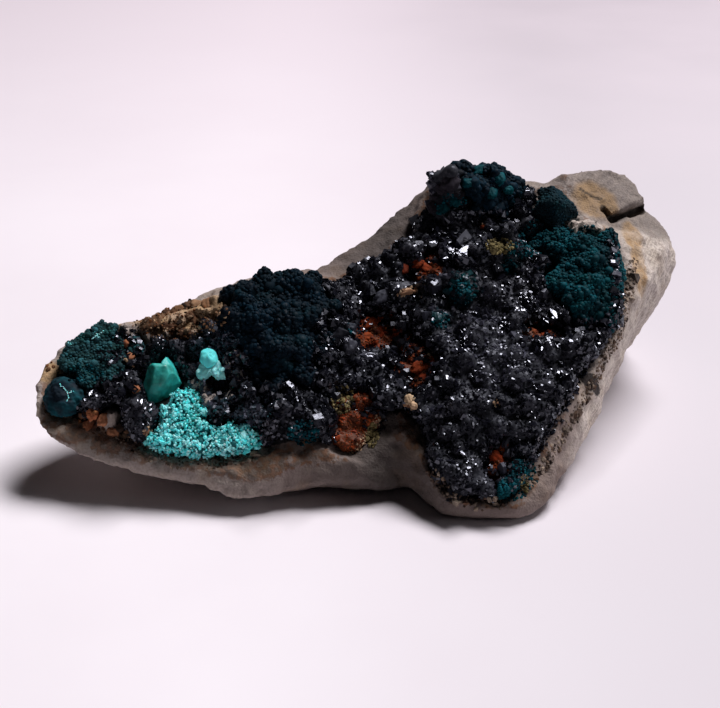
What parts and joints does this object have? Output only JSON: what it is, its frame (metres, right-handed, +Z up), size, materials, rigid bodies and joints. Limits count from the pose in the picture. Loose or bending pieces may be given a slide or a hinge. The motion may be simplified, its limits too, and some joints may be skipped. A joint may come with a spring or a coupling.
{
  "type": "libethenite mineral specimen on dolomite",
  "caption": "Wedge of grey-brown dolomite with a sloping face of dark libethenite crystals, teal botryoidal lumps, turquoise and green copper minerals and rusty limonite; rests on a flat base.",
  "frame": {"origin": "under the middle of the specimen's box, on the surface it rests on", "axes": "+X along the specimen from the thin left tip to the pale right blocks, +Y from the front lobe to the back, +Z up"},
  "size_m": [0.0629, 0.0384, 0.0249],
  "materials": {
    "dolomite": "dull broken rock, warm grey-brown, with ochre and rust stains and pale rims",
    "libethenite": "near-black glossy crystal faces with dark teal and grey sheens",
    "teal_botryoidal": "dark blue-teal round grains, satin to waxy",
    "teal_velvet": "teal fibrous crust with a velvety sheen",
    "azure_crust": "dark blue-black smooth crust with a pale turquoise crack",
    "malachite": "translucent green, waxy to glassy",
    "chrysocolla": "pale turquoise, lacy and porous, matt with small bright edges",
    "limonite": "rust-orange to yellow-brown earthy crumbs, matt"
  },
  "bodies": {
    "root": {"dolomite_matrix": "dolomite", "libethenite_druse": "libethenite", "libethenite_arm_druse": "libethenite", "botryoidal_mound": "teal_botryoidal", "botryoidal_crown": "teal_botryoidal", "botryoidal_flank": "teal_botryoidal", "botryoidal_fringe": "teal_velvet", "velvet_knob": "teal_velvet", "velvet_arm_crust": "teal_velvet", "tip_knob": "azure_crust", "malachite_lump": "malachite", "chrysocolla_nodule": "chrysocolla", "chrysocolla_crust": "chrysocolla", "limonite_crevice": "limonite", "limonite_upper": "limonite", "limonite_middle": "limonite", "limonite_ridge": "limonite", "limonite_flank": "limonite", "limonite_lobe": "limonite"}
  },
  "joints": []
}
